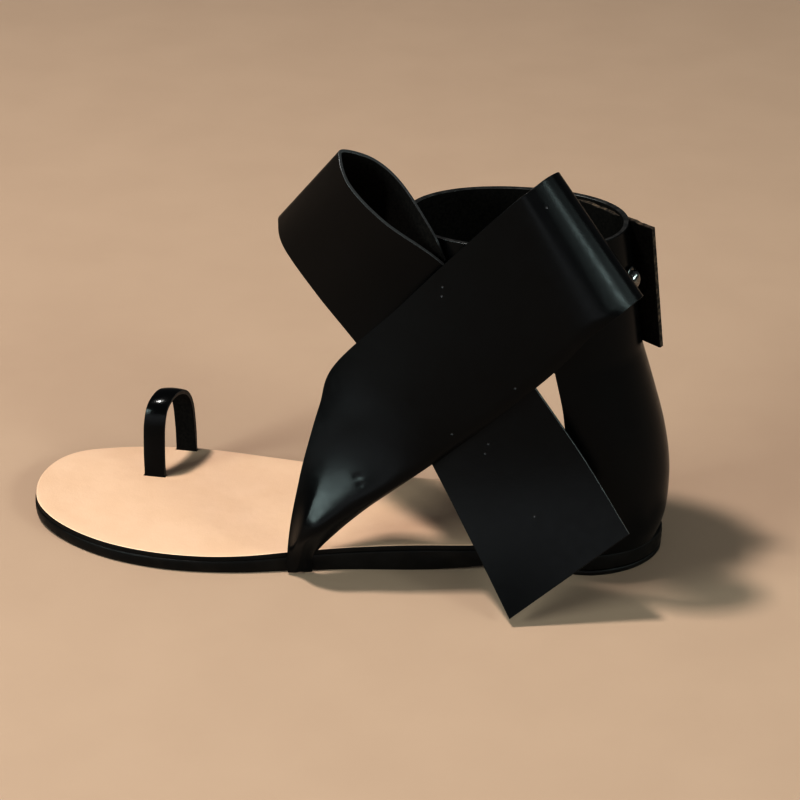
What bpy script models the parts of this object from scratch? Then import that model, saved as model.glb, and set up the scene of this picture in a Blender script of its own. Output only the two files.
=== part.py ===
"""Left-foot flat sandal with a toe loop, an ankle cuff and a folded leather bow.
Toe at -X, heel at +X, inner (medial) side at +Y, floor at Z = 0. Tables are in millimetres."""
import bpy
import bmesh
from math import acos, copysign, cos, pi, radians, sin
from mathutils import Matrix, Vector

MM = 0.001
LEATHER = 2.0          # thickness of the straps, cuff and counter
GAP = 0.3              # clearance left between pieces that meet
OUTSOLE_FRONT = 5.0    # outsole thickness under the forefoot
SEAT_RISE = 4.2        # how much higher the outsole's top lies at the heel
HEEL_LIFT = 2.5        # height of the outsole's underside at the heel
INSOLE = 2.0
INSOLE_BED = 0.2       # glue line under the insole
WAIST_START, WAIST_END = -72.0, 20.0    # where the top climbs
ARCH_START, ARCH_END = 6.0, 48.0        # where the underside leaves the floor
TOE_SPRING, SPRING_START = 1.2, -120.0
BREAST_X = 50.0        # front face of the heel lift
TOE_TIP = (-148.0, 6.0)
HEEL_TIP = (102.5, 2.0)

# Sole outline, a row per station from toe to heel
SOLE = (  # x, medial, lateral
    (-145.0, 21.0, -9.8),
    (-137.0, 31.0, -21.2),
    (-124.0, 36.6, -31.0),
    (-108.0, 39.6, -38.4),
    (-90.0, 40.6, -42.4),
    (-72.0, 39.2, -43.0),
    (-54.0, 36.2, -41.0),
    (-36.0, 32.0, -37.0),
    (-16.0, 26.5, -33.4),
    (4.0, 22.4, -30.8),
    (24.0, 21.8, -28.4),
    (44.0, 24.0, -25.6),
    (62.0, 27.4, -24.8),
    (78.0, 28.6, -24.6),
    (91.0, 24.0, -18.6),
    (99.5, 14.0, -9.0),
)

# Cuff and counter, a row per level; edge is the counter's front edge
CUFF = (  # z, front, centre, back, lateral, medial
    (135.6, 2.6, 43.0, 82.6, -25.8, 29.2),
    (124.0, 2.0, 43.5, 84.4, -26.2, 29.8),
    (111.0, 1.4, 44.0, 86.4, -26.6, 30.4),
    (99.0, 0.8, 45.5, 88.2, -26.9, 30.9),
    (87.0, 0.2, 48.0, 89.8, -27.2, 31.4),
)
COUNTER = (  # z, front, centre, back, lateral, medial, edge
    (87.0, 0.2, 48.0, 89.8, -27.2, 31.4, 60.5),
    (69.0, 0.0, 56.0, 95.4, -27.9, 32.4, 64.5),
    (52.0, 0.0, 64.0, 100.2, -28.0, 32.4, 65.5),
    (36.0, 0.0, 70.0, 102.8, -27.2, 31.2, 63.0),
    (20.0, 0.0, 74.0, 102.6, -25.4, 29.2, 58.5),
    (9.5, 0.0, 75.0, 100.2, -23.2, 26.7, 54.7),
)
ROUNDNESS = 2.15       # exponent of the cuff's oval

# Flap of the cuff: leaves the ring on the medial side and ends free behind the heel
FLAP_TOP, FLAP_BOTTOM = 134.2, 85.0
FLAP = (  # x and y at the top edge, x and y at the bottom edge
    (28.0, 29.4, 28.0, 31.4),
    (40.0, 30.9, 42.0, 33.0),
    (53.0, 29.8, 57.0, 32.0),
    (63.0, 25.4, 68.0, 27.8),
    (77.0, 14.4, 82.5, 16.6),
    (92.6, 1.6, 98.2, 4.0),
)

# Front strap and right loop: a row per section, its front edge, its back edge and its bulge
STRAP = (
    (-37.8, -39.0, 1.0, -28.6, -37.1, 1.0, 0.0),
    (-37.4, -39.6, 9.0, -28.4, -37.5, 8.5, 4.0),
    (-35.8, -39.2, 22.8, -19.3, -37.6, 19.8, 12.0),
    (-33.5, -36.5, 36.5, -8.0, -37.5, 31.0, 9.5),
    (-31.0, -33.5, 49.0, 5.0, -38.0, 42.0, 5.5),
    (-26.0, -28.0, 68.0, 20.5, -39.8, 56.0, 4.0),
    (-20.5, -25.0, 84.0, 37.2, -41.4, 71.5, 3.0),
    (4.0, -28.0, 111.0, 56.3, -42.4, 90.5, 2.0),
    (21.0, -30.5, 130.5, 65.5, -43.5, 101.0, 1.0),
    (43.5, -34.0, 155.0, 72.5, -45.0, 110.5, 0.0),
    (50.0, -33.0, 160.5, 80.5, -43.0, 117.0, 0.0),
    (56.0, -28.0, 164.0, 88.0, -36.5, 121.5, 0.0),
    (58.5, -20.5, 162.5, 90.5, -28.5, 120.5, 0.0),
    (55.0, -16.5, 157.5, 87.0, -24.0, 115.0, 0.0),
    (45.0, -25.0, 148.0, 77.5, -32.0, 110.5, 0.0),
    (33.0, -26.8, 133.0, 65.0, -26.8, 98.0, 0.0),
)

# Tail and left loop: a row per section, its upper edge, its lower edge and its bulge
RIBBON = (
    (91.3, -50.0, 35.4, 49.5, -63.0, 3.2, 0.0),
    (72.8, -42.2, 61.9, 32.8, -47.8, 27.4, 0.0),
    (51.5, -35.5, 89.5, 16.0, -35.0, 52.5, 0.3),
    (38.0, -30.8, 108.5, 3.0, -26.5, 70.0, 0.0),
    (20.0, -27.6, 128.0, -11.5, -16.5, 86.0, 0.0),
    (-1.5, -27.0, 143.0, -30.0, -4.5, 102.0, 0.0),
    (-15.0, -20.5, 153.5, -44.0, 5.0, 116.0, 0.0),
    (-20.0, -11.5, 160.5, -47.5, 12.0, 122.5, 0.0),
    (-18.5, -7.5, 161.5, -46.5, 17.5, 123.5, 0.0),
    (-8.5, -4.0, 157.0, -35.0, 21.5, 118.0, 0.0),
    (2.0, -8.5, 150.0, -23.0, 14.0, 108.0, 0.0),
    (15.0, -23.0, 138.5, -15.0, -5.0, 94.0, 0.0),
    (20.0, -25.0, 128.6, -10.6, -13.8, 86.8, 0.0),
)

# Toe loop, a row per bend: distance along the line between its feet, and height
LOOP_FEET = ((-102.4, 15.8), (-94.4, 38.6))
LOOP_ACROSS = (1.0, -0.05)    # the way the strap's width and its slots lie
LOOP_WIDTH = 8.5
LOOP = (
    (0.0, 5.5),
    (0.8, 20.0),
    (2.0, 30.0),
    (5.2, 36.4),
    (12.0, 38.8),
    (18.8, 36.4),
    (22.6, 30.0),
    (23.8, 20.0),
    (24.2, 5.5),
)

# Snap stud: radius and distance along its axis, from the outer dome to the inner disc
STUD_LEVEL = 1.55      # row of the cuff table, counted from the rim
STUD_TURN = -15.0      # degrees from the back towards the lateral side
STUD_HOLE = 2.0
STUD = (
    (0.0, 5.0),
    (1.8, 4.8),
    (3.2, 4.0),
    (3.6, 3.0),
    (3.4, 2.4),
    (4.6, 2.3),
    (4.8, 1.8),
    (1.4, 1.7),
    (1.4, -2.4),
    (3.8, -2.4),
    (4.0, -3.0),
    (0.0, -3.3),
)


def clear_scene():
    for obj in list(bpy.data.objects):
        bpy.data.objects.remove(obj)


def collection(name, hidden=False):
    made = bpy.data.collections.new(name)
    bpy.context.scene.collection.children.link(made)
    made.hide_render = hidden
    return made


def material(name, colour, roughness, metallic=0.0):
    made = bpy.data.materials.new(name)
    made.use_nodes = True
    shader = made.node_tree.nodes["Principled BSDF"]
    shader.inputs["Base Color"].default_value = (*colour, 1.0)
    shader.inputs["Roughness"].default_value = roughness
    shader.inputs["Metallic"].default_value = metallic
    return made


def smooth_step(a, b, x):
    t = min(max((x - a) / (b - a), 0.0), 1.0)
    return t * t * (3.0 - 2.0 * t)


def curve_at(rows, t):
    """Smooth curve through the rows of a table; t counts rows."""
    last = len(rows) - 1
    i = min(max(int(t), 0), last - 1)
    f = t - i
    p1, p2 = rows[i], rows[i + 1]
    p0 = rows[i - 1] if i else [2 * a - b for a, b in zip(p1, p2)]
    p3 = rows[i + 2] if i + 2 <= last else [2 * b - a for a, b in zip(p1, p2)]
    return [
        b + 0.5 * f * (c - a + f * (2 * a - 5 * b + 4 * c - d + f * (3 * (b - c) + d - a)))
        for a, b, c, d in zip(p0, p1, p2, p3)
    ]


def mesh_object(name, points, faces, home):
    data = bpy.data.meshes.new(name)
    data.from_pydata([Vector(p) * MM for p in points], [], faces)
    work = bmesh.new()
    work.from_mesh(data)
    bmesh.ops.recalc_face_normals(work, faces=work.faces)
    work.to_mesh(data)
    work.free()
    obj = bpy.data.objects.new(name, data)
    home.objects.link(obj)
    return obj


def hide_helper(obj):
    obj.hide_render = True
    obj.display_type = "WIRE"


def sheet(name, place, across, along, home, thickness=LEATHER):
    """A grid moved by place(u, v), thickened evenly to both sides."""
    work = bmesh.new()
    bmesh.ops.create_grid(work, x_segments=along, y_segments=across, size=0.5)
    for vert in work.verts:
        vert.co = Vector(place(vert.co.x + 0.5, vert.co.y + 0.5)) * MM
    data = bpy.data.meshes.new(name)
    work.to_mesh(data)
    work.free()
    obj = bpy.data.objects.new(name, data)
    home.objects.link(obj)
    thicken(obj, thickness)
    return obj


def thicken(obj, thickness):
    solid = obj.modifiers.new("leather", "SOLIDIFY")
    solid.thickness = thickness * MM
    solid.offset = 0.0
    solid.use_even_offset = True


def join(obj, other, operation):
    made = obj.modifiers.new(other.name, "BOOLEAN")
    made.operation = operation
    made.solver = "EXACT"
    made.object = other


# Sole

def outline(inset):
    """Closed outline from the toe tip round the lateral side, heel and medial side."""
    lateral = [(x, out) for x, med, out in SOLE]
    medial = [(x, med) for x, med, out in SOLE]
    ring = [TOE_TIP, *lateral, HEEL_TIP, *reversed(medial)]
    n, parts = len(ring), 3
    rows = ring[-2:] + ring + ring[:3]
    walk = [curve_at(rows, 2 + k / parts) for k in range(n * parts)]
    points = []
    for k, (x, y) in enumerate(walk):
        before, after = walk[k - 1], walk[(k + 1) % len(walk)]
        side = Vector((before[1] - after[1], after[0] - before[0])).normalized()
        move = inset(x) if callable(inset) else inset
        points.append((x + side.x * move, y + side.y * move))
    return points


def spring(x):
    return TOE_SPRING * (max(SPRING_START - x, 0.0) / (SPRING_START - TOE_TIP[0])) ** 2


def outsole_under(x):
    return HEEL_LIFT * smooth_step(ARCH_START, ARCH_END, x) + spring(x)


def outsole_top(x):
    return OUTSOLE_FRONT + SEAT_RISE * smooth_step(WAIST_START, WAIST_END, x) + spring(x)


def layer(name, levels, home):
    """A sole layer from rings of (inset, height function), lowest first."""
    points, faces = [], []
    for inset, height in levels:
        points += [(x, y, height(x)) for x, y in outline(inset)]
    n = len(points) // len(levels)
    for ring in range(len(levels) - 1):
        for k in range(n):
            a, b = ring * n + k, ring * n + (k + 1) % n
            faces.append((a, b, b + n, a + n))
    for base in (0, (len(levels) - 1) * n):
        faces.append((base, base + 1, base + n - 1))
        half = n // 2
        faces += [(base + k, base + k + 1, base + n - k - 1, base + n - k) for k in range(1, half - 1)]
        faces.append((base + half - 1, base + half, base + half + 1))
    return mesh_object(name, points, faces, home)


def heel_lift(home):
    """The lift: the heel end of the outline closed by a straight breast."""
    levels = ((1.0, 0.0), (0.2, 0.8), (0.2, HEEL_LIFT - GAP))
    points, faces, count = [], [], 0
    for inset, z in levels:
        ring = [p for p in outline(inset) if p[0] > BREAST_X + 1.0]
        first, last = ring[0], ring[-1]
        ring = [(BREAST_X, first[1] + 0.2), *ring, (BREAST_X, last[1] - 0.2)]
        count = len(ring)
        points += [(x, y, z) for x, y in ring]
    for level in range(len(levels) - 1):
        for k in range(count):
            a, b = level * count + k, level * count + (k + 1) % count
            faces.append((a, b, b + count, a + count))
    faces.append(tuple(range(count)))
    faces.append(tuple(range(2 * count, 3 * count)))
    return mesh_object("heel", points, faces, home)


def insole_inset(x):
    return 0.4 + 3.4 * smooth_step(46.0, 52.0, x)


# Cuff and counter

def oval(row, angle):
    """Point of a level's oval; the angle is 0 at the back and runs to the medial side."""
    z, front, centre, back, lateral, medial = row[:6]
    c, s = cos(angle), sin(angle)
    power = 2.0 / ROUNDNESS
    reach = back - centre if c > 0 else centre - front
    middle, half = (lateral + medial) / 2, (medial - lateral) / 2
    x = centre + reach * copysign(abs(c) ** power, c)
    y = middle + half * copysign(abs(s) ** power, s)
    return x, y, z


def edge_angle(row):
    """Angle at which a level's oval reaches the counter's front edge."""
    low, high = 0.2, pi
    for _ in range(40):
        mid = (low + high) / 2
        low, high = (mid, high) if oval(row, mid)[0] > row[6] else (low, mid)
    return (low + high) / 2


def shell(home):
    """Cuff ring and counter as one sheet: the counter hangs from the back columns of the ring."""
    side, front = 14, 12
    cuff_rows, counter_rows = 9, 14
    reach = edge_angle(COUNTER[0])
    angles = [reach * k / side for k in range(side + 1)]
    angles += [reach + (pi - reach) * k / front for k in range(1, front)]
    angles = [-a for a in reversed(angles[1:])] + angles + [pi]
    columns = len(angles)
    points, faces = [], []
    for r in range(cuff_rows):
        row = curve_at(CUFF, (len(CUFF) - 1) * r / (cuff_rows - 1))
        points += [oval(row, a) for a in angles]
    for r in range(cuff_rows - 1):
        for k in range(columns):
            a, b = r * columns + k, r * columns + (k + 1) % columns
            faces.append((a, b, b + columns, a + columns))
    middle = columns // 2 - (columns % 2 == 0)
    above = [(cuff_rows - 1) * columns + middle + k for k in range(-side, side + 1)]
    for r in range(1, counter_rows):
        row = curve_at(COUNTER, (len(COUNTER) - 1) * r / (counter_rows - 1))
        end = edge_angle(row)
        here = [len(points) + k for k in range(2 * side + 1)]
        points += [oval(row, end * k / side) for k in range(-side, side + 1)]
        faces += [(above[k], above[k + 1], here[k + 1], here[k]) for k in range(2 * side)]
        above = here
    obj = mesh_object("upper", points, faces, home)
    thicken(obj, LEATHER)
    return obj


def flap_place(u, v):
    x0, y0, x1, y1 = curve_at(FLAP, u * (len(FLAP) - 1))
    return x0 + (x1 - x0) * v, y0 + (y1 - y0) * v, FLAP_TOP + (FLAP_BOTTOM - FLAP_TOP) * v


def ribbon_place(rows):
    """Straight rulings between two edge curves, bowed outwards by the last column."""
    def at(u, v):
        row = curve_at(rows, u * (len(rows) - 1))
        return Vector(row[:3]).lerp(Vector(row[3:6]), v), row[6]

    def place(u, v):
        point, bulge = at(u, v)
        ahead, _ = at(min(u + 0.01, 1.0), v)
        behind, _ = at(max(u - 0.01, 0.0), v)
        ruling = at(u, 1.0)[0] - at(u, 0.0)[0]
        out = (ahead - behind).cross(ruling).normalized()
        if out.y > 0:
            out = -out
        return point + out * bulge * 4 * v * (1 - v)
    return place


# Toe loop and stud

def loop_frame():
    near, far = Vector(LOOP_FEET[0]), Vector(LOOP_FEET[1])
    along = (far - near).normalized()
    return near, along, Vector(LOOP_ACROSS).normalized()


def loop_place(u, v):
    near, along, across = loop_frame()
    run, z = curve_at(LOOP, u * (len(LOOP) - 1))
    flat = near + along * run + across * (v - 0.5) * LOOP_WIDTH
    return flat.x, flat.y, z


def stud_seat():
    """Point of the cuff's middle surface that carries the stud, and the outward direction there."""
    turn = radians(STUD_TURN)
    level = curve_at(CUFF, STUD_LEVEL)
    round_way = Vector(oval(level, turn + 0.05)) - Vector(oval(level, turn - 0.05))
    up_way = Vector(oval(curve_at(CUFF, STUD_LEVEL - 0.1), turn)) - Vector(oval(level, turn))
    return Vector(oval(level, turn)), round_way.cross(up_way).normalized()


def box(name, centre, size, turn, home):
    work = bmesh.new()
    bmesh.ops.create_cube(work, size=1.0)
    c, s = cos(turn), sin(turn)
    for vert in work.verts:
        x, y, z = (a * b for a, b in zip(vert.co, size))
        vert.co = Vector((centre[0] + x * c - y * s, centre[1] + x * s + y * c, centre[2] + z)) * MM
    data = bpy.data.meshes.new(name)
    work.to_mesh(data)
    work.free()
    obj = bpy.data.objects.new(name, data)
    home.objects.link(obj)
    hide_helper(obj)
    return obj


def turned(name, profile, origin, axis, sides, home):
    """A profile of (radius, distance) turned about an axis."""
    axis = Vector(axis).normalized()
    first = axis.orthogonal().normalized()
    second = axis.cross(first)
    points, faces, rings = [], [], []
    for radius, run in profile:
        centre = Vector(origin) + axis * run
        if radius == 0:
            rings.append([len(points)])
            points.append(centre)
            continue
        rings.append([len(points) + k for k in range(sides)])
        for k in range(sides):
            a = 2 * pi * k / sides
            points.append(centre + (first * cos(a) + second * sin(a)) * radius)
    for one, two in zip(rings, rings[1:]):
        for k in range(sides):
            n = (k + 1) % sides
            if len(one) == 1:
                faces.append((one[0], two[k], two[n]))
            elif len(two) == 1:
                faces.append((one[k], one[n], two[0]))
            else:
                faces.append((one[k], one[n], two[n], two[k]))
    return mesh_object(name, points, faces, home)


def centre_on_floor(objects):
    """Moves everything so that the origin is the middle of the bounding box, on the floor."""
    graph = bpy.context.evaluated_depsgraph_get()
    points = [v.co for obj in objects for v in obj.evaluated_get(graph).data.vertices]
    low = [min(p[k] for p in points) for k in range(3)]
    high = [max(p[k] for p in points) for k in range(3)]
    move = Matrix.Translation((-(low[0] + high[0]) / 2, -(low[1] + high[1]) / 2, -low[2]))
    for data in bpy.data.meshes:
        data.transform(move)


def main():
    clear_scene()
    parts = collection("sandal")
    cutters = collection("cutters", hidden=True)
    black = material("black leather", (0.012, 0.012, 0.014), 0.4)
    sole_black = material("sole edge", (0.015, 0.014, 0.013), 0.5)
    heel_black = material("heel edge", (0.015, 0.014, 0.013), 0.55)
    tan = material("tan leather", (0.78, 0.52, 0.32), 0.55)
    bow_black = material("bow leather", (0.013, 0.013, 0.015), 0.4)
    loop_black = material("toe loop leather", (0.012, 0.012, 0.013), 0.35)
    steel = material("stud metal", (0.75, 0.75, 0.76), 0.2, 1.0)

    outsole = layer("outsole", (
        (0.8, outsole_under),
        (0.0, lambda x: outsole_under(x) + 0.8),
        (0.0, lambda x: outsole_top(x) - 0.3),
        (0.3, outsole_top),
    ), parts)
    heel = heel_lift(parts)
    insole = layer("insole", (
        (insole_inset, lambda x: outsole_top(x) + INSOLE_BED),
        (insole_inset, lambda x: outsole_top(x) + INSOLE_BED + INSOLE - 0.5),
        (lambda x: insole_inset(x) + 0.5, lambda x: outsole_top(x) + INSOLE_BED + INSOLE),
    ), parts)

    toe_loop = sheet("toe_loop", loop_place, 2, 26, parts)
    _, along, across = loop_frame()
    turn = Vector((1, 0)).angle_signed(across) * -1
    for name, (run, _) in (("near_slot", LOOP[0]), ("far_slot", LOOP[-1])):
        foot = loop_frame()[0] + along * run
        join(insole, box(name, (*foot, 7.0), (LOOP_WIDTH + 2 * GAP + 0.1, LEATHER + 2 * GAP + 0.2, 12.0),
                         turn, cutters), "DIFFERENCE")

    upper = shell(parts)
    flap = sheet("flap", flap_place, 6, 24, cutters)
    strap = sheet("strap", ribbon_place(STRAP), 8, 60, cutters)
    for helper in (flap, strap):
        hide_helper(helper)
        join(upper, helper, "UNION")
    bow = sheet("bow", ribbon_place(RIBBON), 8, 48, parts)

    seat, axis = stud_seat()
    stud = turned("snap_stud", STUD, seat, axis, 20, parts)
    hole = turned("stud_hole", ((0.0, 6.0), (STUD_HOLE, 6.0), (STUD_HOLE, -6.0), (0.0, -6.0)),
                  seat, axis, 16, cutters)
    hide_helper(hole)
    join(upper, hole, "DIFFERENCE")

    centre_on_floor(parts.objects)
    for obj, look in ((outsole, sole_black), (heel, heel_black), (insole, tan), (upper, black),
                      (bow, bow_black), (toe_loop, loop_black), (stud, steel)):
        obj.data.materials.append(look)


main()
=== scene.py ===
"""Looks of a flat left-foot sandal: tan insole, toe loop, black leather cuff, strap and bow.
Every table is in millimetres in the shoe's own frame: toe at -X, heel at +X, inner side at +Y."""
import bpy
import bmesh
from math import copysign, cos, exp, pi, radians, sin
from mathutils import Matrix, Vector, noise


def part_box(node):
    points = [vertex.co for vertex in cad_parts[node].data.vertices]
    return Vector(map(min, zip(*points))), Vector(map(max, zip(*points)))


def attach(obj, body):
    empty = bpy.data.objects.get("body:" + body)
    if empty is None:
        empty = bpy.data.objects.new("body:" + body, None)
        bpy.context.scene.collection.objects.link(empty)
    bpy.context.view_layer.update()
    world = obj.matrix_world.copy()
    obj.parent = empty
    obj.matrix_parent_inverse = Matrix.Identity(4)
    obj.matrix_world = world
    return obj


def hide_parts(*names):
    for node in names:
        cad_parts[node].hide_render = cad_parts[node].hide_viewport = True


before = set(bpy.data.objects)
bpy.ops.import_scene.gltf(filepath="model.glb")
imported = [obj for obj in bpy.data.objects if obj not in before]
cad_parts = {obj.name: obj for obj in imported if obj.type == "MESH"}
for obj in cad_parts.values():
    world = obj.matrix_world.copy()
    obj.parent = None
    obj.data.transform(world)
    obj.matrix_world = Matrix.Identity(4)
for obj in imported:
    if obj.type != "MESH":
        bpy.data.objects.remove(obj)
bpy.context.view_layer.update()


# Outsole: black rubbery sole sheet, 5 mm thick in front and thicker under the waist, sprung a little
# at the toe and arched in front of the heel. Its side is ground smooth and painted black.
MM = 0.001
TOE_TIP, HEEL_TIP = (-148.0, 6.0), (102.5, 2.0)
SOLE = (  # x, medial, lateral
    (-145.0, 21.0, -9.8),
    (-137.0, 31.0, -21.2),
    (-124.0, 36.6, -31.0),
    (-108.0, 39.6, -38.4),
    (-90.0, 40.6, -42.4),
    (-72.0, 39.2, -43.0),
    (-54.0, 36.2, -41.0),
    (-36.0, 32.0, -37.0),
    (-16.0, 26.5, -33.4),
    (4.0, 22.4, -30.8),
    (24.0, 21.8, -28.4),
    (44.0, 24.0, -25.6),
    (62.0, 27.4, -24.8),
    (78.0, 28.6, -24.6),
    (91.0, 24.0, -18.6),
    (99.5, 14.0, -9.0),
)
OUTSOLE_FRONT, SEAT_RISE, HEEL_LIFT = 5.0, 4.2, 2.5
WAIST_START, WAIST_END = -72.0, 20.0    # where the top climbs
ARCH_START, ARCH_END = 6.0, 48.0        # where the underside leaves the floor
TOE_SPRING, SPRING_START = 1.2, -120.0
BREAST_X = 50.0                         # front of the heel lift
SIDE_LOW = ((1.1, 0.0), (0.45, 0.18), (0.1, 0.7), (-0.05, 2.2))    # inset, height over the underside
SIDE_HIGH = ((0.0, 0.7), (0.12, 0.25), (0.45, 0.0))                # inset, depth under the top


def smooth_step(a, b, x):
    t = min(max((x - a) / (b - a), 0.0), 1.0)
    return t * t * (3.0 - 2.0 * t)


def curve_at(rows, t):
    """Smooth curve through the rows of a table; t counts rows."""
    last = len(rows) - 1
    i = min(max(int(t), 0), last - 1)
    f = t - i
    p1, p2 = rows[i], rows[i + 1]
    p0 = rows[i - 1] if i else [2 * a - b for a, b in zip(p1, p2)]
    p3 = rows[i + 2] if i + 2 <= last else [2 * b - a for a, b in zip(p1, p2)]
    return [
        b + 0.5 * f * (c - a + f * (2 * a - 5 * b + 4 * c - d + f * (3 * (b - c) + d - a)))
        for a, b, c, d in zip(p0, p1, p2, p3)
    ]


def sole_outline(inset, parts=8):
    """Closed outline from the toe tip round the lateral side, heel and medial side."""
    lateral = [(x, outer) for x, _, outer in SOLE]
    medial = [(x, inner) for x, inner, _ in reversed(SOLE)]
    ring = [TOE_TIP, *lateral, HEEL_TIP, *medial]
    rows = ring[-2:] + ring + ring[:3]
    walk = [curve_at(rows, 2 + k / parts) for k in range(len(ring) * parts)]
    points = []
    for k, (x, y) in enumerate(walk):
        before, after = walk[k - 1], walk[(k + 1) % len(walk)]
        side = Vector((before[1] - after[1], after[0] - before[0])).normalized()
        points.append((x + side.x * inset(x), y + side.y * inset(x)))
    return points


def toe_spring(x):
    return TOE_SPRING * (max(SPRING_START - x, 0.0) / (SPRING_START - TOE_TIP[0])) ** 2


def outsole_under(x):
    return HEEL_LIFT * smooth_step(ARCH_START, ARCH_END, x) + toe_spring(x)


def outsole_top(x):
    return OUTSOLE_FRONT + SEAT_RISE * smooth_step(WAIST_START, WAIST_END, x) + toe_spring(x)


# The shoe's zero in the frame: from the heel's breast and the outsole's widest lateral point
ZERO = Vector((
    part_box("heel")[0].x - BREAST_X * MM,
    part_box("outsole")[0].y - min(y for _, y in sole_outline(lambda x: 0.0)) * MM,
    0.0,
))


def put(name, points, faces, sharp=40.0):
    """A mesh from points in the shoe's millimetres, smooth except at edges sharper than given."""
    data = bpy.data.meshes.new(name)
    data.from_pydata([ZERO + Vector(p) * MM for p in points], [], faces)
    work = bmesh.new()
    work.from_mesh(data)
    bmesh.ops.recalc_face_normals(work, faces=work.faces)
    work.to_mesh(data)
    work.free()
    data.shade_smooth()
    data.set_sharp_from_angle(angle=radians(sharp))
    obj = bpy.data.objects.new(name, data)
    bpy.context.scene.collection.objects.link(obj)
    return obj


def sole_layer(name, levels, across=10):
    """A sole layer from rings of (inset, height), lowest first, closed by strips across the sole."""
    points, faces = [], []
    for inset, height in levels:
        points += [(x, y, height(x)) for x, y in sole_outline(inset)]
    n = len(points) // len(levels)
    for ring in range(len(levels) - 1):
        for k in range(n):
            a, b = ring * n + k, ring * n + (k + 1) % n
            faces.append((a, b, b + n, a + n))
    for base, (_, height) in ((0, levels[0]), ((len(levels) - 1) * n, levels[-1])):
        strips = [[base]]
        for k in range(1, n // 2):
            lateral, medial = Vector(points[base + k]), Vector(points[base + n - k])
            inner = [lateral.lerp(medial, j / across) for j in range(1, across)]
            strips.append([base + k, *range(len(points), len(points) + across - 1), base + n - k])
            points += [(p.x, p.y, height(p.x)) for p in inner]
        strips.append([base + n // 2])
        for one, two in zip(strips, strips[1:]):
            for j in range(across):
                corner = [one[min(j, len(one) - 1)], one[min(j + 1, len(one) - 1)]]
                corner += [two[min(j + 1, len(two) - 1)], two[min(j, len(two) - 1)]]
                faces.append(tuple(dict.fromkeys(corner)))
    return put(name, points, faces)


def finish(name, colour, roughness, specular, metallic=0.0):
    """A Principled finish; even values sit on the shader's own sockets."""
    made = bpy.data.materials.new(name)
    made.use_nodes = True
    shader = made.node_tree.nodes["Principled BSDF"]
    shader.inputs["Base Color"].default_value = (*colour, 1.0)
    shader.inputs["Roughness"].default_value = roughness
    shader.inputs["Specular IOR Level"].default_value = specular
    shader.inputs["Metallic"].default_value = metallic
    return made


def node(made, kind, **settings):
    """Adds a node; settings that are numbers, colours or sockets go to its inputs by name."""
    new = made.node_tree.nodes.new(kind)
    for key, value in settings.items():
        if hasattr(new, key):
            setattr(new, key, value)
            continue
        socket = new.inputs[key.replace("_", " ")]
        if isinstance(value, bpy.types.NodeSocket):
            made.node_tree.links.new(value, socket)
        else:
            socket.default_value = value
    return new


def speckle(made, size, detail=3.0):
    """A noise value over the piece, with blotches about as wide as size (mm)."""
    coords = node(made, "ShaderNodeTexCoord").outputs["Object"]
    blotches = node(made, "ShaderNodeTexNoise", Vector=coords, Scale=1.0 / (size * MM), Detail=detail)
    return blotches.outputs["Fac"]


def spread(made, value, start, end, low, high):
    """Maps a value that runs from start to end to one that runs from low to high."""
    mapped = node(made, "ShaderNodeMapRange", Value=value)
    for key, number in (("From Min", start), ("From Max", end), ("To Min", low), ("To Max", high)):
        mapped.inputs[key].default_value = number
    return mapped.outputs["Result"]


def wander(made, socket, low, high, value, start=0.35, end=0.65):
    """Lets a shader value or colour run between two limits as a noise value does."""
    shader = made.node_tree.nodes["Principled BSDF"]
    if isinstance(low, tuple):
        ramp = node(made, "ShaderNodeValToRGB", Fac=value)
        first, last = ramp.color_ramp.elements
        first.position, first.color = start, (*low, 1.0)
        last.position, last.color = end, (*high, 1.0)
        made.node_tree.links.new(ramp.outputs["Color"], shader.inputs[socket])
        return
    made.node_tree.links.new(spread(made, value, start, end, low, high), shader.inputs[socket])


def relief(made, layers):
    """Chains bumps of (value, depth in mm) into the shader's normal."""
    shader = made.node_tree.nodes["Principled BSDF"]
    normal = None
    for value, depth in layers:
        bump = node(made, "ShaderNodeBump", Height=value, Distance=depth * MM)
        if normal:
            made.node_tree.links.new(normal, bump.inputs["Normal"])
        normal = bump.outputs["Normal"]
    made.node_tree.links.new(normal, shader.inputs["Normal"])


def pebble(made, size):
    """Leather grain: the rounded cells of a skin, about as wide as size (mm)."""
    coords = node(made, "ShaderNodeTexCoord").outputs["Object"]
    cells = node(made, "ShaderNodeTexVoronoi", Vector=coords, Scale=1.0 / (size * MM), Randomness=1.0)
    return cells.outputs["Distance"]


edge_paint = finish("black edge paint", (0.006, 0.005, 0.004), 0.48, 0.2)
wander(edge_paint, "Base Color", (0.004, 0.0035, 0.003), (0.010, 0.008, 0.0065), speckle(edge_paint, 9.0))
wander(edge_paint, "Roughness", 0.34, 0.55, speckle(edge_paint, 4.0))
relief(edge_paint, ((speckle(edge_paint, 6.0), 0.25), (speckle(edge_paint, 0.7), 0.05)))


def side_ring(inset, level, up):
    """One ring of a sole's side: its inset and its height, as functions of x."""
    return lambda x: inset, lambda x: level(x) + up


outsole = sole_layer("outsole_leather", (
    *(side_ring(inset, outsole_under, up) for inset, up in SIDE_LOW),
    *(side_ring(inset, outsole_top, -down) for inset, down in SIDE_HIGH),
))
outsole.data.materials.append(edge_paint)
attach(outsole, "root")
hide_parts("outsole")


# Heel lift: a 2.5 mm slab of the same sole material, glued under the heel seat, with a straight
# breast in front and its edge ground flush with the outsole and painted black.
LIFT_LEVELS = (  # inset, height
    (0.9, 0.0),
    (0.45, 0.2),
    (0.2, 0.6),
    (0.15, 1.2),
    (0.2, 1.8),
    (0.5, 2.2),
)
LIFT_INSET = 0.2        # of the flat part of its side
BREAST_GAP = 1.5        # from the breast to the first point of the round side
BREAST_ROUND = 0.6      # how much the breast's edges are rounded, as a part of the side's rounding


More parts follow.
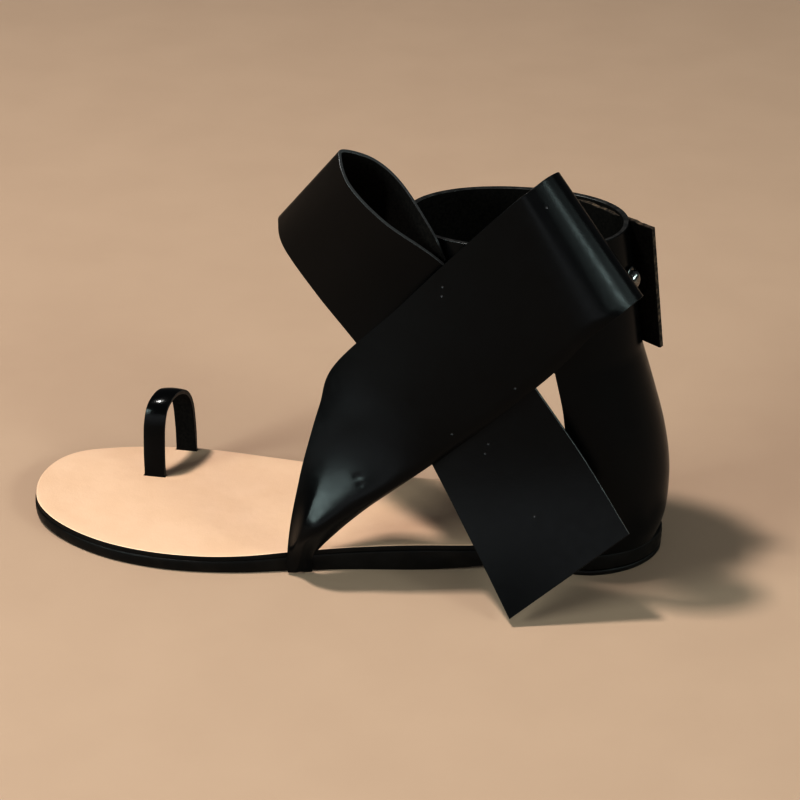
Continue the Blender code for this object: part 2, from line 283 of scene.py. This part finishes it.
def heel_lift():
    """Rings of the heel's outline, cut off at the breast, with flat ends."""
    points, faces, count = [], [], 0
    behind = [k for k, (x, _) in enumerate(sole_outline(lambda x: 0.0)) if x > BREAST_X + BREAST_GAP]
    for inset, z in LIFT_LEVELS:
        edge = sole_outline(lambda x: inset)
        ring = [edge[k] for k in behind]
        first, last = ring[0], ring[-1]
        breast = BREAST_X + BREAST_ROUND * max(inset - LIFT_INSET, 0.0)
        ring = [(breast, first[1]), *ring, (breast, last[1])]
        count = len(ring)
        points += [(x, y, z) for x, y in ring]
    for level in range(len(LIFT_LEVELS) - 1):
        for k in range(count):
            a, b = level * count + k, level * count + (k + 1) % count
            faces.append((a, b, b + count, a + count))
    for base in (0, (len(LIFT_LEVELS) - 1) * count):
        half, end = count // 2, base + count - 1
        faces += [(base + k, base + k + 1, end - k - 1, end - k) for k in range(half - 1)]
        if count % 2:
            faces.append((base + half - 1, base + half, base + half + 1))
    return put("heel_lift", points, faces)


heel = heel_lift()
heel.data.materials.append(edge_paint)
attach(heel, "root")
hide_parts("heel")


# Insole: a 2 mm sock of natural vegetable-tanned leather glued on the outsole, trimmed flush with
# it and painted black at the edge, with two slots that the toe loop's ends pass through.
INSOLE, INSOLE_BED = 2.0, 0.2           # its thickness, and the glue line under it
INSOLE_SIDE = 0.4
INSOLE_EDGE = ((0.0, 0.55), (0.12, 0.22), (0.38, 0.04), (0.8, 0.0))    # inset, depth under the top
COUNTER_ROOM = 3.4                      # inset inside the heel counter
ROOM_START, ROOM_END = 46.0, 52.0       # where that inset begins and is full
FACING_UP = 0.8                         # steeper faces belong to the painted edge
LEATHER, GAP = 2.0, 0.3                 # thickness of the straps, and their play in the slots
SLOT_MIDDLE, SLOT_DEEP = 7.0, 12.0      # height of a slot's middle, and its depth
LOOP_FEET = ((-102.4, 15.8), (-94.4, 38.6))
LOOP_ACROSS = (1.0, -0.05)              # the way the strap's width and its slots lie
LOOP_WIDTH, LOOP_CROWN = 8.5, 0.45      # the strap's width, and its bulge across
LOOP = (  # distance along the line between the feet, height
    (0.0, 5.5),
    (0.8, 20.0),
    (2.0, 30.0),
    (5.2, 36.4),
    (12.0, 38.8),
    (18.8, 36.4),
    (22.6, 30.0),
    (23.8, 20.0),
    (24.2, 5.5),
)


def insole_inset(x):
    return INSOLE_SIDE + COUNTER_ROOM * smooth_step(ROOM_START, ROOM_END, x)


def insole_ring(inset, up):
    """One ring of the insole: its inset and its height over the glue line, as functions of x."""
    return lambda x: insole_inset(x) + inset, lambda x: outsole_top(x) + INSOLE_BED + up


def loop_lines():
    """The near foot, the direction from foot to foot, and the direction across the strap."""
    near, far = Vector(LOOP_FEET[0]), Vector(LOOP_FEET[1])
    along = (far - near).normalized()
    return near, along, Vector(LOOP_ACROSS).normalized()


def cut_slot(obj, run):
    """Cuts one slot of the toe loop through the insole."""
    near, along, across = loop_lines()
    foot = near + along * run
    through = Vector((-across.y, across.x))
    work = bmesh.new()
    bmesh.ops.create_cube(work, size=1.0)
    size = (LOOP_WIDTH + 2 * GAP, LEATHER + 2 * GAP, SLOT_DEEP)
    for vert in work.verts:
        a, b, c = (p * q for p, q in zip(vert.co, size))
        flat = foot + across * a + through * b
        vert.co = ZERO + Vector((flat.x, flat.y, SLOT_MIDDLE + c)) * MM
    bmesh.ops.recalc_face_normals(work, faces=work.faces)
    cutter_mesh = bpy.data.meshes.new("slot")
    work.to_mesh(cutter_mesh)
    work.free()
    cut_through(obj, cutter_mesh)


def cut_through(obj, cutter_mesh):
    """Subtracts a closed mesh from an object and keeps the result as its mesh."""
    cutter = bpy.data.objects.new("cutter", cutter_mesh)
    bpy.context.scene.collection.objects.link(cutter)
    cut = obj.modifiers.new("cut", "BOOLEAN")
    cut.operation, cut.solver, cut.object = "DIFFERENCE", "EXACT", cutter
    graph = bpy.context.evaluated_depsgraph_get()
    made = bpy.data.meshes.new_from_object(obj.evaluated_get(graph))
    obj.modifiers.clear()
    obj.data = made
    bpy.data.objects.remove(cutter)


tan = finish("tan insole leather", (0.726, 0.508, 0.371), 0.5, 0.3)
wander(tan, "Base Color", (0.714, 0.496, 0.358), (0.738, 0.521, 0.385), speckle(tan, 14.0, 5.0), 0.3, 0.7)
wander(tan, "Roughness", 0.42, 0.58, speckle(tan, 6.0))
relief(tan, ((speckle(tan, 11.0), 0.25), (pebble(tan, 0.7), 0.02), (speckle(tan, 0.35), 0.02)))

insole = sole_layer("insole_sock", (
    insole_ring(0.0, 0.0),
    *(insole_ring(inset, INSOLE - down) for inset, down in INSOLE_EDGE),
))
insole.data.materials.append(tan)
insole.data.materials.append(edge_paint)
for face in insole.data.polygons:
    face.material_index = 0 if face.normal.z > FACING_UP else 1
for run, _ in (LOOP[0], LOOP[-1]):
    cut_slot(insole, run)
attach(insole, "root")
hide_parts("insole")


# Toe loop: a narrow strap of glossy black leather bent into a ring for the big toe. Its ends go
# down through the insole's slots and are glued between insole and outsole.
CUT_ROUND, CUT_ANGLE = 0.4, 50.0        # rounding of a cut edge, and the angle that counts as one
CROWN_START, CROWN_END = 8.0, 16.0      # heights between which the strap takes its crown
LOOP_STEP = 0.1                         # part of a row over which its direction is taken


def leather_piece(name, points, faces, looks, thickness, round_edge):
    """A surface with its leather thickness, rounded cut edges, and finishes: grain, flesh, edge."""
    data = bpy.data.meshes.new(name)
    data.from_pydata([ZERO + Vector(p) * MM for p in points], [], faces)
    data.shade_smooth()
    for look in looks:
        data.materials.append(look)
    obj = bpy.data.objects.new(name, data)
    bpy.context.scene.collection.objects.link(obj)
    solid = obj.modifiers.new("leather", "SOLIDIFY")
    solid.thickness = thickness * MM
    solid.offset = 0.0
    solid.use_even_offset = True
    solid.material_offset = 1
    solid.material_offset_rim = 2
    edge = obj.modifiers.new("cut edge", "BEVEL")
    edge.width = round_edge * MM
    edge.segments = 3
    edge.limit_method = "ANGLE"
    edge.angle_limit = radians(CUT_ANGLE)
    edge.harden_normals = True
    return obj


def leather_sheet(name, place, along, across, looks, flip=False, thickness=LEATHER, round_edge=CUT_ROUND):
    """A sheet of leather whose middle surface is place(u, v): grain side, flesh side and cut edge."""
    points = [place(i / along, j / across) for i in range(along + 1) for j in range(across + 1)]
    faces = []
    for i in range(along):
        for j in range(across):
            a = i * (across + 1) + j
            corner = (a, a + across + 1, a + across + 2, a + 1)
            faces.append(corner[::-1] if flip else corner)
    return leather_piece(name, points, faces, looks, thickness, round_edge)


def smooth_leather(name, gloss):
    """Black box-calf: near-black colour, fine grain, slow unevenness, satin gloss."""
    made = finish(name, (0.003, 0.003, 0.0032), gloss, 0.17)
    wander(made, "Base Color", (0.0027, 0.0027, 0.0029), (0.0033, 0.0033, 0.0036), speckle(made, 14.0))
    wander(made, "Roughness", gloss - 0.02, gloss + 0.03, speckle(made, 4.0, 4.0))
    relief(made, ((speckle(made, 18.0), 0.03), (pebble(made, 0.55), 0.015), (speckle(made, 0.3), 0.01)))
    return made


black = smooth_leather("black box calf", 0.24)
loop_black = smooth_leather("black loop leather", 0.18)
flesh = finish("black flesh side", (0.008, 0.007, 0.006), 0.85, 0.1)
wander(flesh, "Base Color", (0.005, 0.0045, 0.004), (0.013, 0.011, 0.009), speckle(flesh, 1.2, 6.0))
relief(flesh, ((speckle(flesh, 0.6, 6.0), 0.12),))
raw_edge = finish("dyed cut edge", (0.02, 0.019, 0.018), 0.38, 0.5)
wander(raw_edge, "Base Color", (0.012, 0.0115, 0.011), (0.045, 0.041, 0.038), speckle(raw_edge, 2.5, 5.0))
relief(raw_edge, ((speckle(raw_edge, 0.5, 5.0), 0.06),))


def loop_place(u, v):
    near, along, across = loop_lines()
    t = u * (len(LOOP) - 1)
    run, z = curve_at(LOOP, t)
    ahead = curve_at(LOOP, min(t + LOOP_STEP, len(LOOP) - 1))
    behind = curve_at(LOOP, max(t - LOOP_STEP, 0.0))
    out = Vector((behind[1] - ahead[1], ahead[0] - behind[0])).normalized()
    crown = LOOP_CROWN * 4.0 * v * (1.0 - v) * smooth_step(CROWN_START, CROWN_END, z)
    flat = near + along * (run + out.x * crown) + across * (v - 0.5) * LOOP_WIDTH
    return flat.x, flat.y, z + out.y * crown


toe_loop = leather_sheet("toe_loop_strap", loop_place, 120, 10, (loop_black, flesh, raw_edge), flip=True)
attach(toe_loop, "root")
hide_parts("toe_loop")


# Ankle cuff and heel counter: one piece of 2 mm black leather, wrapped round the ankle and hanging
# down behind the heel, its lower edge glued and nailed inside the heel seat.
CUFF = (  # z, front, centre, back, lateral, medial
    (135.6, 2.6, 43.0, 82.6, -25.8, 29.2),
    (124.0, 2.0, 43.5, 84.4, -26.2, 29.8),
    (111.0, 1.4, 44.0, 86.4, -26.6, 30.4),
    (99.0, 0.8, 45.5, 88.2, -26.9, 30.9),
    (87.0, 0.2, 48.0, 89.8, -27.2, 31.4),
)
COUNTER = (  # z, front, centre, back, lateral, medial, front edge
    (87.0, 0.2, 48.0, 89.8, -27.2, 31.4, 60.5),
    (69.0, 0.0, 56.0, 95.4, -27.9, 32.4, 64.5),
    (52.0, 0.0, 64.0, 100.2, -28.0, 32.4, 65.5),
    (36.0, 0.0, 70.0, 102.8, -27.2, 31.2, 63.0),
    (20.0, 0.0, 74.0, 102.6, -25.4, 29.2, 58.5),
    (9.5, 0.0, 75.0, 100.2, -23.2, 26.7, 54.7),
)
ROUNDNESS = 2.15                        # 2 would be a true ellipse
STUD_LEVEL, STUD_TURN = 1.55, -15.0     # row of the cuff, and degrees from its back
STUD_HOLE, HOLE_REACH = 2.0, 6.0        # radius of the rivet's hole, and how far it is cut to each side
SEAT_TURN, SEAT_RISE_ROW = 0.05, 0.1    # steps round and up the cuff that give the stud's direction


def oval(row, angle):
    """Point of a level's oval; the angle is 0 at the back and runs to the medial side."""
    z, front, centre, back, lateral, medial = row[:6]
    c, s = cos(angle), sin(angle)
    power = 2.0 / ROUNDNESS
    reach = back - centre if c > 0 else centre - front
    middle, half = (lateral + medial) / 2, (medial - lateral) / 2
    x = centre + reach * copysign(abs(c) ** power, c)
    y = middle + half * copysign(abs(s) ** power, s)
    return x, y, z


def edge_angle(row):
    """Angle at which a level's oval reaches the counter's front edge."""
    low, high = 0.2, pi
    for _ in range(40):
        mid = (low + high) / 2
        low, high = (mid, high) if oval(row, mid)[0] > row[6] else (low, mid)
    return (low + high) / 2


def cuff_shell(side=48, front=40, cuff_rows=25, counter_rows=46):
    """The counter hangs from the back columns of the cuff's ring."""
    reach = edge_angle(COUNTER[0])
    angles = [reach * k / side for k in range(side + 1)]
    angles += [reach + (pi - reach) * k / front for k in range(1, front)]
    angles = [-a for a in reversed(angles[1:])] + angles + [pi]
    columns = len(angles)
    points, faces = [], []
    for r in range(cuff_rows):
        row = curve_at(CUFF, (len(CUFF) - 1) * r / (cuff_rows - 1))
        points += [oval(row, a) for a in angles]
    for r in range(cuff_rows - 1):
        for k in range(columns):
            a, b = r * columns + k, r * columns + (k + 1) % columns
            faces.append((a + columns, b + columns, b, a))
    middle = columns // 2 - (columns % 2 == 0)
    above = [(cuff_rows - 1) * columns + middle + k for k in range(-side, side + 1)]
    for r in range(1, counter_rows):
        row = curve_at(COUNTER, (len(COUNTER) - 1) * r / (counter_rows - 1))
        end = edge_angle(row)
        here = [len(points) + k for k in range(2 * side + 1)]
        points += [oval(row, end * k / side) for k in range(-side, side + 1)]
        faces += [(here[k], here[k + 1], above[k + 1], above[k]) for k in range(2 * side)]
        above = here
    return leather_piece("ankle_cuff", points, faces, (black, flesh, raw_edge), LEATHER, CUT_ROUND)


def stud_seat():
    """Point of the cuff's middle surface that carries the stud, and the outward direction there."""
    turn = radians(STUD_TURN)
    level = curve_at(CUFF, STUD_LEVEL)
    round_way = Vector(oval(level, turn + SEAT_TURN)) - Vector(oval(level, turn - SEAT_TURN))
    up_way = Vector(oval(curve_at(CUFF, STUD_LEVEL - SEAT_RISE_ROW), turn)) - Vector(oval(level, turn))
    return Vector(oval(level, turn)), round_way.cross(up_way).normalized()


def turned(name, profile, origin, axis, sides):
    """A profile of (radius, distance) turned about an axis."""
    first = axis.orthogonal().normalized()
    second = axis.cross(first)
    points, faces, rings = [], [], []
    for radius, run in profile:
        centre = origin + axis * run
        if radius == 0:
            rings.append([len(points)])
            points.append(centre)
            continue
        rings.append([len(points) + k for k in range(sides)])
        turns = [2 * pi * k / sides for k in range(sides)]
        points += [centre + (first * cos(a) + second * sin(a)) * radius for a in turns]
    for one, two in zip(rings, rings[1:]):
        for k in range(sides):
            n = (k + 1) % sides
            corner = [one[k % len(one)], one[n % len(one)], two[n % len(two)], two[k % len(two)]]
            faces.append(tuple(dict.fromkeys(corner)))
    return put(name, points, faces, sharp=30.0)


seat, stud_axis = stud_seat()
cuff = cuff_shell()
punch = ((0.0, HOLE_REACH), (STUD_HOLE, HOLE_REACH), (STUD_HOLE, -HOLE_REACH), (0.0, -HOLE_REACH))
hole = turned("hole", punch, seat, stud_axis, sides=32)
hole_mesh = hole.data
bpy.data.objects.remove(hole)
cut_through(cuff, hole_mesh)
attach(cuff, "root")
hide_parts("upper")


# Cuff flap: the free end of the cuff's leather, left open. It leaves the ring on the inner side and
# ends behind the heel; its cut edges show brownish fibres.
FLAP_TOP, FLAP_BOTTOM = 134.2, 85.0
FLAP = (  # x and y at the top edge, x and y at the bottom edge
    (28.0, 29.4, 28.0, 31.4),
    (40.0, 30.9, 42.0, 33.0),
    (53.0, 29.8, 57.0, 32.0),
    (63.0, 25.4, 68.0, 27.8),
    (77.0, 14.4, 82.5, 16.6),
    (92.6, 1.6, 98.2, 4.0),
)
RAGGED, RAGGED_WAVES = 0.5, 34.0        # how far and how often the worn top edge wanders
RAGGED_LINE, RAGGED_FADE = 3.7, 6       # line of the noise that it follows, and how fast it fades downwards


def flap_place(u, v):
    x0, y0, x1, y1 = curve_at(FLAP, u * (len(FLAP) - 1))
    worn = RAGGED * noise.noise((u * RAGGED_WAVES, 0.0, RAGGED_LINE)) * (1.0 - v) ** RAGGED_FADE
    return x0 + (x1 - x0) * v, y0 + (y1 - y0) * v, FLAP_TOP + (FLAP_BOTTOM - FLAP_TOP) * v + worn


worn_edge = finish("worn brown edge", (0.06, 0.045, 0.033), 0.7, 0.25)
worn_fibres = speckle(worn_edge, 1.6, 6.0)
wander(worn_edge, "Base Color", (0.02, 0.016, 0.013), (0.16, 0.115, 0.08), worn_fibres, 0.4, 0.7)
relief(worn_edge, ((speckle(worn_edge, 0.5, 6.0), 0.12),))

flap = leather_sheet("cuff_flap", flap_place, 120, 24, (black, flesh, worn_edge))
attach(flap, "root")
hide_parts("upper")


# Snap stud: a turned steel rivet through the back of the cuff, domed outside, with a groove that
# the flap's socket would snap on and a flat disc against the inside.
STUD = (  # radius, distance along the axis
    (0.0, 5.0),
    (0.9, 4.96),
    (1.8, 4.8),
    (2.6, 4.45),
    (3.2, 4.0),
    (3.55, 3.5),
    (3.6, 3.0),
    (3.4, 2.4),
    (4.5, 2.3),
    (4.75, 2.15),
    (4.8, 1.8),
    (1.4, 1.7),
    (1.4, -2.4),
    (3.8, -2.4),
    (4.0, -2.7),
    (3.9, -3.0),
    (0.0, -3.3),
)
steel = finish("dark nickel-plated steel", (0.30, 0.295, 0.285), 0.18, 0.5, 1.0)
wander(steel, "Roughness", 0.12, 0.28, speckle(steel, 1.0))
stud = turned("snap_rivet", STUD, seat, stud_axis, sides=48)
stud.data.materials.append(steel)
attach(stud, "root")
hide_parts("snap_stud")


# Front strap and right loop: a long black ribbon of the same leather. It is gathered at the outer
# sole edge, swells into a pouch, crosses the cuff and folds back at the top right into a loop.
STRAP = (  # front edge, back edge, bulge
    (-37.8, -39.0, 1.0, -28.6, -37.1, 1.0, 0.0),
    (-37.4, -39.6, 9.0, -28.4, -37.5, 8.5, 1.5),
    (-35.8, -39.2, 22.8, -19.3, -37.6, 19.8, 3.0),
    (-33.5, -36.5, 36.5, -8.0, -37.5, 31.0, 3.0),
    (-31.0, -33.5, 49.0, 5.0, -38.0, 42.0, 3.0),
    (-26.0, -28.0, 68.0, 20.5, -39.8, 56.0, 3.5),
    (-20.5, -25.0, 84.0, 37.2, -41.4, 71.5, 3.0),
    (4.0, -28.0, 111.0, 56.3, -42.4, 90.5, 2.0),
    (21.0, -30.5, 130.5, 65.5, -43.5, 101.0, 1.0),
    (43.5, -34.0, 155.0, 72.5, -45.0, 110.5, 0.0),
    (50.0, -33.0, 160.5, 80.5, -43.0, 117.0, 0.0),
    (56.0, -28.0, 164.0, 88.0, -36.5, 121.5, 0.0),
    (58.5, -20.5, 162.5, 90.5, -28.5, 120.5, 0.0),
    (55.0, -16.5, 157.5, 87.0, -24.0, 115.0, 0.0),
    (45.0, -25.0, 148.0, 77.5, -32.0, 110.5, 0.0),
    (33.0, -26.8, 133.0, 65.0, -26.8, 98.0, 0.0),
)
PUFF = Vector((0.12, -0.87, 0.47)).normalized()    # the way the gathered leather swells
POUCH = (1.8, 0.42, 3.95, 0.94)         # crest of the pouch: from row, across; to row, across
POUCH_HEIGHT = 8.0
POUCH_ABOVE, POUCH_BELOW = 24.0, 9.0    # how far it reaches above the crest and under it
POUCH_TOP, POUCH_ROUND = 1.1, 0.01      # fullness of its slopes, and rounding of its crest
POUCH_RISE, POUCH_FADE = (-0.45, 0.18), (0.6, 1.9)    # parts of the crest where it rises and fades
POUCH_FRONT = 0.3                       # part of the width over which it leaves the front edge
STRAP_CREASES = (  # from row, across; to row, across; half width; height
    (0.0, 0.28, 2.2, 0.22, 1.6, 0.2),
    (0.0, 0.52, 2.0, 0.48, 1.3, -0.3),
    (0.0, 0.76, 2.1, 0.72, 1.6, 0.15),
    (3.98, 0.58, 4.02, 0.63, 1.1, -0.2),
    (3.79, 0.67, 3.80, 0.71, 1.0, -0.15),
)
CREASE_REACH = 3.0                      # half widths beyond which a crease is not felt
CREASE_END, CREASE_LOSS = 0.6, 0.8      # from this part of its length on it loses this much
STRAP_WIDE = 52.0                       # about, for the roll of its back edge
EDGE_ROLL, EDGE_DROP = 4.0, 1.6         # the back edge is turned under over this width, by this much
ROLL_RISE, ROLL_FADE = (0.15, 0.3), (0.62, 0.72)    # parts of the strap's length
RIBBON_STEP = 0.12                      # part of a row over which a ribbon's direction is taken
BOW_LEATHER, BOW_ROUND = 1.4, 0.3       # the ribbon is thinner than the cuff
STRAP_MARKS = ((7.67, 0.10), (7.53, 0.14), (5.63, 0.90), (6.75, 0.92), (10.2, 0.15))    # row, across
MARK_RADIUS, MARK_DEPTH = 0.55, 0.5     # of a needle hole
DUST, DUST_FULL = (0.08, 0.08, 0.085), -0.5    # light dust caught in it, and where it covers all


def ribbon_surface(rows):
    """Straight rulings between two edge curves, bowed outwards; gives the point and the way out."""
    last = len(rows) - 1

    def at(t, v):
        row = curve_at(rows, t)
        return Vector(row[:3]).lerp(Vector(row[3:6]), v), row

    def surface(t, v):
        point, row = at(t, v)
        ahead, behind = at(min(t + RIBBON_STEP, last), v)[0], at(max(t - RIBBON_STEP, 0.0), v)[0]
        out = (ahead - behind).cross(Vector(row[3:6]) - Vector(row[:3])).normalized()
        if out.y > 0:
            out = -out
        return point + out * row[6] * 4 * v * (1 - v), out
    return surface


def pouch_swell(surface):
    """Swell of the gathered leather over its crest, rising from the front edge."""
    start, end = surface(*POUCH[:2])[0], surface(*POUCH[2:])[0]
    way = end - start
    above = Vector((0.0, -1.0, 0.0)).cross(way).normalized()

    def swell(point, v):
        away = (point - start).dot(above)
        part = (point - start).dot(way) / way.length_squared
        away = abs(away) / (POUCH_ABOVE if away > 0 else POUCH_BELOW)
        slope = max(POUCH_TOP - (away * away + POUCH_ROUND) ** 0.5, 0.0) ** 2
        along = smooth_step(*POUCH_RISE, part) * (1.0 - smooth_step(*POUCH_FADE, part))
        return POUCH_HEIGHT * slope * along * smooth_step(0.0, POUCH_FRONT, v)
    return swell


def crease_lines(surface, creases):
    """Soft troughs and ridges along short lines given in rows and parts of the width."""
    lines = []
    for from_row, from_across, to_row, to_across, width, height in creases:
        lines.append((surface(from_row, from_across)[0], surface(to_row, to_across)[0], width, height))

    def move(point):
        total = 0.0
        for start, end, width, height in lines:
            way = end - start
            part = min(max((point - start).dot(way) / way.length_squared, 0.0), 1.0)
            away = (point - start - way * part).length / width
            if away < CREASE_REACH:
                fade = 1.0 - CREASE_LOSS * smooth_step(CREASE_END, 1.0, part)
                total += height * exp(-away * away) * fade
        return total
    return move


strap_surface = ribbon_surface(STRAP)
strap_swell = pouch_swell(strap_surface)
strap_crease = crease_lines(strap_surface, STRAP_CREASES)


def strap_place(u, v):
    point, out = strap_surface(u * (len(STRAP) - 1), v)
    rolled = max(1.0 - (1.0 - v) * STRAP_WIDE / EDGE_ROLL, 0.0) ** 2 * EDGE_DROP
    rolled *= smooth_step(*ROLL_RISE, u) * (1.0 - smooth_step(*ROLL_FADE, u))
    return point + PUFF * strap_swell(point, v) + out * (strap_crease(point) - rolled)


def grain_points(place, surface, rows, marks):
    """Points of the grain face at marks that are given as row and part of the width."""
    return [place(t / (len(rows) - 1), v) + surface(t, v)[1] * BOW_LEATHER / 2 for t, v in marks]


def needle_marks(made, points):
    """Needle holes: small dusty pits pricked through a finish at given points."""
    links = made.node_tree.links
    shader = made.node_tree.nodes["Principled BSDF"]
    coords = node(made, "ShaderNodeTexCoord").outputs["Object"]
    pits = None
    for point in points:
        away = node(made, "ShaderNodeVectorMath", operation="DISTANCE")
        links.new(coords, away.inputs[0])
        away.inputs[1].default_value = ZERO + Vector(point) * MM
        pit = spread(made, away.outputs["Value"], 0.0, MARK_RADIUS * MM, -1.0, 0.0)
        if pits:
            both = node(made, "ShaderNodeMath", operation="ADD")
            links.new(pits, both.inputs[0])
            links.new(pit, both.inputs[1])
            pit = both.outputs["Value"]
        pits = pit
    below = shader.inputs["Normal"].links[0].from_socket
    bump = node(made, "ShaderNodeBump", Height=pits, Distance=MARK_DEPTH * MM, Normal=below)
    links.new(bump.outputs["Normal"], shader.inputs["Normal"])
    dusty = node(made, "ShaderNodeMix", data_type="RGBA")
    links.new(spread(made, pits, 0.0, DUST_FULL, 0.0, 1.0), dusty.inputs["Factor"])
    links.new(shader.inputs["Base Color"].links[0].from_socket, dusty.inputs[6])
    dusty.inputs[7].default_value = (*DUST, 1.0)
    links.new(dusty.outputs[2], shader.inputs["Base Color"])


strap_black = smooth_leather("black strap calf", 0.24)
needle_marks(strap_black, grain_points(strap_place, strap_surface, STRAP, STRAP_MARKS))
strap_looks = (strap_black, flesh, edge_paint)
strap = leather_sheet("front_strap", strap_place, 300, 48, strap_looks,
                      flip=True, thickness=BOW_LEATHER, round_edge=BOW_ROUND)
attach(strap, "root")
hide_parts("upper")


# Bow tail and left loop: a second run of the ribbon. The tail hangs free over the heel's outer side,
# almost to the floor; the ribbon passes under the strap, rises and folds back into the left loop.
RIBBON = (  # upper edge, lower edge, bulge
    (91.3, -50.0, 35.4, 49.5, -63.0, 3.2, 0.0),
    (72.8, -42.2, 61.9, 32.8, -47.8, 27.4, 0.0),
    (51.5, -35.5, 89.5, 16.0, -35.0, 52.5, 0.3),
    (38.0, -30.8, 108.5, 3.0, -26.5, 70.0, 0.0),
    (20.0, -27.6, 128.0, -11.5, -16.5, 86.0, 0.0),
    (-1.5, -27.0, 143.0, -30.0, -4.5, 102.0, 0.0),
    (-15.0, -20.5, 153.5, -44.0, 5.0, 116.0, 0.0),
    (-20.0, -11.5, 160.5, -47.5, 12.0, 122.5, 0.0),
    (-18.5, -7.5, 161.5, -46.5, 17.5, 123.5, 0.0),
    (-8.5, -4.0, 157.0, -35.0, 21.5, 118.0, 0.0),
    (2.0, -8.5, 150.0, -23.0, 14.0, 108.0, 0.0),
    (15.0, -23.0, 138.5, -15.0, -5.0, 94.0, 0.0),
    (20.0, -25.0, 128.6, -10.6, -13.8, 86.8, 0.0),
)
RIBBON_MARKS = ((1.63, 0.59), (1.69, 0.53), (0.78, 0.51))    # row, across
bow_surface = ribbon_surface(RIBBON)


def bow_place(u, v):
    return bow_surface(u * (len(RIBBON) - 1), v)[0]


bow_black = smooth_leather("black bow calf", 0.24)
needle_marks(bow_black, grain_points(bow_place, bow_surface, RIBBON, RIBBON_MARKS))
# The ribbon's cut edge: burnished and glossy. Its grey is lighter than a dyed edge; the extra lightness is
# a painted highlight for the thin light line that the edge catches.
bow_edge_and_highlight = finish("burnished ribbon edge with painted highlight", (0.05, 0.05, 0.05), 0.3, 0.6)
wander(bow_edge_and_highlight, "Roughness", 0.25, 0.4, speckle(bow_edge_and_highlight, 2.0))
bow_looks = (bow_black, flesh, bow_edge_and_highlight)
bow = leather_sheet("bow_ribbon", bow_place, 260, 44, bow_looks,
                    thickness=BOW_LEATHER, round_edge=BOW_ROUND)
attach(bow, "root")
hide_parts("bow")


# Floor: a plain pale warm floor with a dull sheen, one flat sheet that is large enough to fill
# the view. The shoe stands on it with its forefoot and its heel lift.
FLOOR = 3.0    # half its width, in metres
floor_corners = [(-FLOOR, -FLOOR, 0.0), (FLOOR, -FLOOR, 0.0), (FLOOR, FLOOR, 0.0), (-FLOOR, FLOOR, 0.0)]
floor_mesh = bpy.data.meshes.new("floor")
floor_mesh.from_pydata(floor_corners, [], [(0, 1, 2, 3)])
floor = bpy.data.objects.new("floor", floor_mesh)
bpy.context.scene.collection.objects.link(floor)
pale = finish("pale warm floor", (0.512, 0.37, 0.281), 0.6, 0.2)
wander(pale, "Base Color", (0.506, 0.365, 0.277), (0.518, 0.375, 0.285), speckle(pale, 45.0, 5.0))
floor.data.materials.append(pale)


# Light: a small strong ceiling lamp on the toe side, a weak one in front, three soft cool panels
# at the sides, a pale low wall in front of the shoe, and a dim room.
LAMP_WARM, PANEL_COOL, WALL_COOL = (1.0, 0.98, 0.95), (0.82, 1.0, 0.98), (0.95, 1.0, 1.03)
ROOM_COLOUR, ROOM_STRENGTH = (0.9, 0.95, 1.0, 1.0), 0.15
LIGHT_AIM = 0.06     # height that the lights look at, in metres
CONTRAST = 0.67      # display gamma for the photo's deep blacks


def soft_light(name, azimuth, elevation, distance, width, height, watts, colour):
    """A soft panel seen from the shoe at an azimuth (0 in front, + to the right) and elevation."""
    data = bpy.data.lights.new(name, "AREA")
    data.shape, data.size, data.size_y = "RECTANGLE", width, height
    data.energy, data.color = watts, colour
    obj = bpy.data.objects.new(name, data)
    a, e = radians(azimuth), radians(elevation)
    away = Vector((sin(a) * cos(e), -cos(a) * cos(e), sin(e)))
    centre = ZERO + Vector((0.0, 0.0, LIGHT_AIM))
    obj.location = centre + away * distance
    obj.rotation_euler = away.to_track_quat("Z", "Y").to_euler()
    bpy.context.scene.collection.objects.link(obj)


soft_light("main_lamp", -84.0, 71.0, 1.6, 0.16, 0.16, 23.0, LAMP_WARM)
soft_light("front_lamp", 14.0, 65.0, 1.6, 0.18, 0.18, 0.5, LAMP_WARM)
soft_light("left_panel", -50.0, 23.0, 3.2, 1.25, 0.74, 74.0, PANEL_COOL)
soft_light("right_panel", 60.0, 27.0, 3.2, 0.5, 0.5, 18.0, PANEL_COOL)
soft_light("side_panel", 72.0, 24.0, 3.2, 4.4, 0.6, 52.0, PANEL_COOL)
soft_light("pale_wall", -10.0, 9.0, 3.4, 5.6, 1.0, 42.0, WALL_COOL)
world = bpy.data.worlds.new("room")
world.use_nodes = True
sky = world.node_tree.nodes["Background"]
sky.inputs["Color"].default_value = ROOM_COLOUR
sky.inputs["Strength"].default_value = ROOM_STRENGTH
bpy.context.scene.world = world
view = bpy.context.scene.view_settings
view.view_transform = "Standard"
view.gamma = CONTRAST


# Camera: where the photograph was taken from, on the outer side, a little to the heel and above.
# It looks at a point over the shoe's zero, about a third of the way up the shoe.
VIEW_TURN, VIEW_RISE = 8.0, 28.0              # degrees to the heel, and above the floor
VIEW_DISTANCE, VIEW_HEIGHT = 862.07, 57.47    # from the point looked at, and that point's height
VIEW_LENS = 101.25
camera = bpy.data.objects.new("camera", bpy.data.cameras.new("camera"))
bpy.context.scene.collection.objects.link(camera)
turn, tilt = radians(VIEW_TURN), radians(VIEW_RISE)
back = Vector((sin(turn) * cos(tilt), -cos(turn) * cos(tilt), sin(tilt)))
camera.location = ZERO + (Vector((0.0, 0.0, VIEW_HEIGHT)) + back * VIEW_DISTANCE) * MM
camera.rotation_euler = back.to_track_quat("Z", "Y").to_euler()
camera.data.lens = VIEW_LENS
bpy.context.scene.camera = camera
